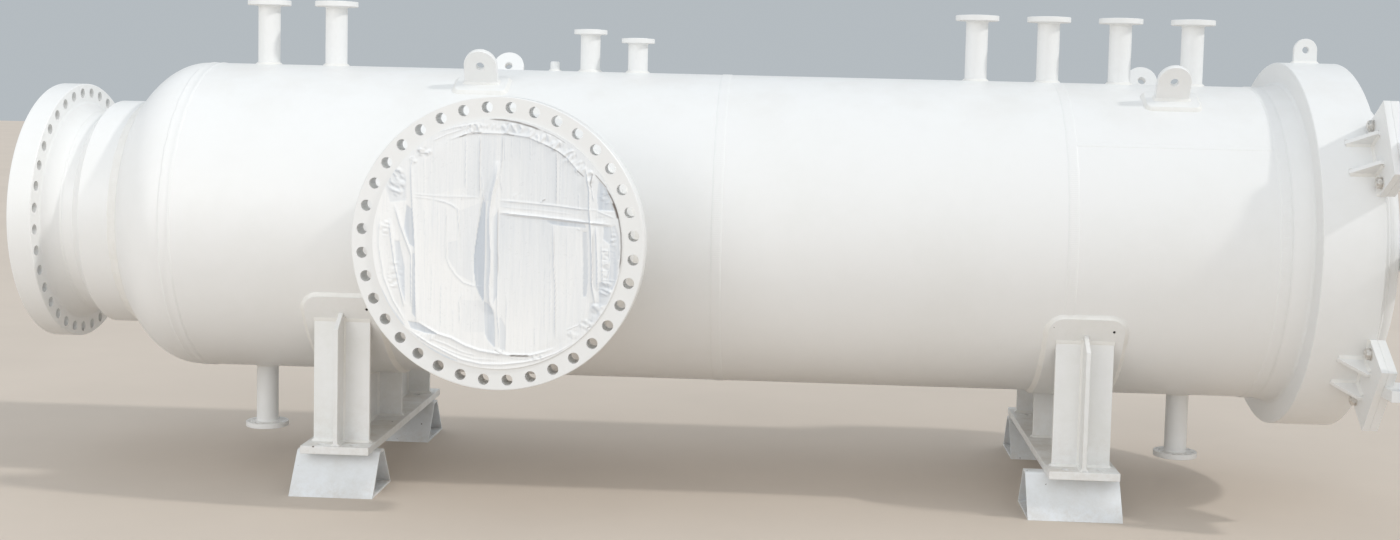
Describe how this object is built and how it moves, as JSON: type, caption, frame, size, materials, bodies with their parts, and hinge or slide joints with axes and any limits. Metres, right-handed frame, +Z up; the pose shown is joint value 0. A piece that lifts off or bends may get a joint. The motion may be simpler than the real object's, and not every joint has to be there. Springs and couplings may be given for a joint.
{
  "type": "gas filter vessel",
  "caption": "Horizontal gas filter vessel on two saddles, with flanged end and side nozzles, small top and bottom nozzles and a hinged end closure.",
  "frame": {"origin": "centre of the bounding box's underside, on the ground that the feet stand on", "axes": "+X along the vessel from the end nozzle to the closure, -Y towards the big side nozzle, +Z up"},
  "size_m": [5.109, 1.615, 1.8],
  "materials": {
    "white_paint": "glossy white paint",
    "foot_paint": "worn white paint",
    "cover_film": "wrinkled pale film held by tape",
    "bare_steel": "plain turned steel"
  },
  "bodies": {
    "root": {"closure_door": "white_paint", "closure_hub": "white_paint", "closure_lug": "white_paint", "door_arm": "white_paint", "end_nozzle_cover": "cover_film", "end_nozzle_flange": "white_paint", "end_nozzle_neck": "white_paint", "gauge_nozzle_1": "white_paint", "gauge_nozzle_2": "white_paint", "hinge_pin": "bare_steel", "instrument_nozzle_1": "white_paint", "instrument_nozzle_2": "white_paint", "instrument_nozzle_3": "white_paint", "instrument_nozzle_4": "white_paint", "left_base_plate": "white_paint", "left_drain_nozzle": "white_paint", "left_front_foot": "foot_paint", "left_head": "white_paint", "left_lifting_lugs": "white_paint", "left_lug_pads": "white_paint", "left_rear_foot": "foot_paint", "left_saddle_ribs": "white_paint", "left_saddle_web": "white_paint", "left_shell_course": "white_paint", "left_vent_nozzle": "white_paint", "left_wear_plate": "white_paint", "lower_hinge_block": "white_paint", "lower_hinge_bracket": "white_paint", "middle_shell_course": "white_paint", "right_base_plate": "white_paint", "right_drain_nozzle": "white_paint", "right_front_foot": "foot_paint", "right_lifting_lugs": "white_paint", "right_lug_pads": "white_paint", "right_rear_foot": "foot_paint", "right_saddle_ribs": "white_paint", "right_saddle_web": "white_paint", "right_shell_course": "white_paint", "right_vent_nozzle": "white_paint", "right_wear_plate": "white_paint", "side_nozzle_cover": "cover_film", "side_nozzle_flange": "white_paint", "side_nozzle_neck": "white_paint", "top_coupling": "white_paint", "upper_hinge_block": "white_paint", "upper_hinge_bracket": "white_paint"}
  },
  "joints": []
}
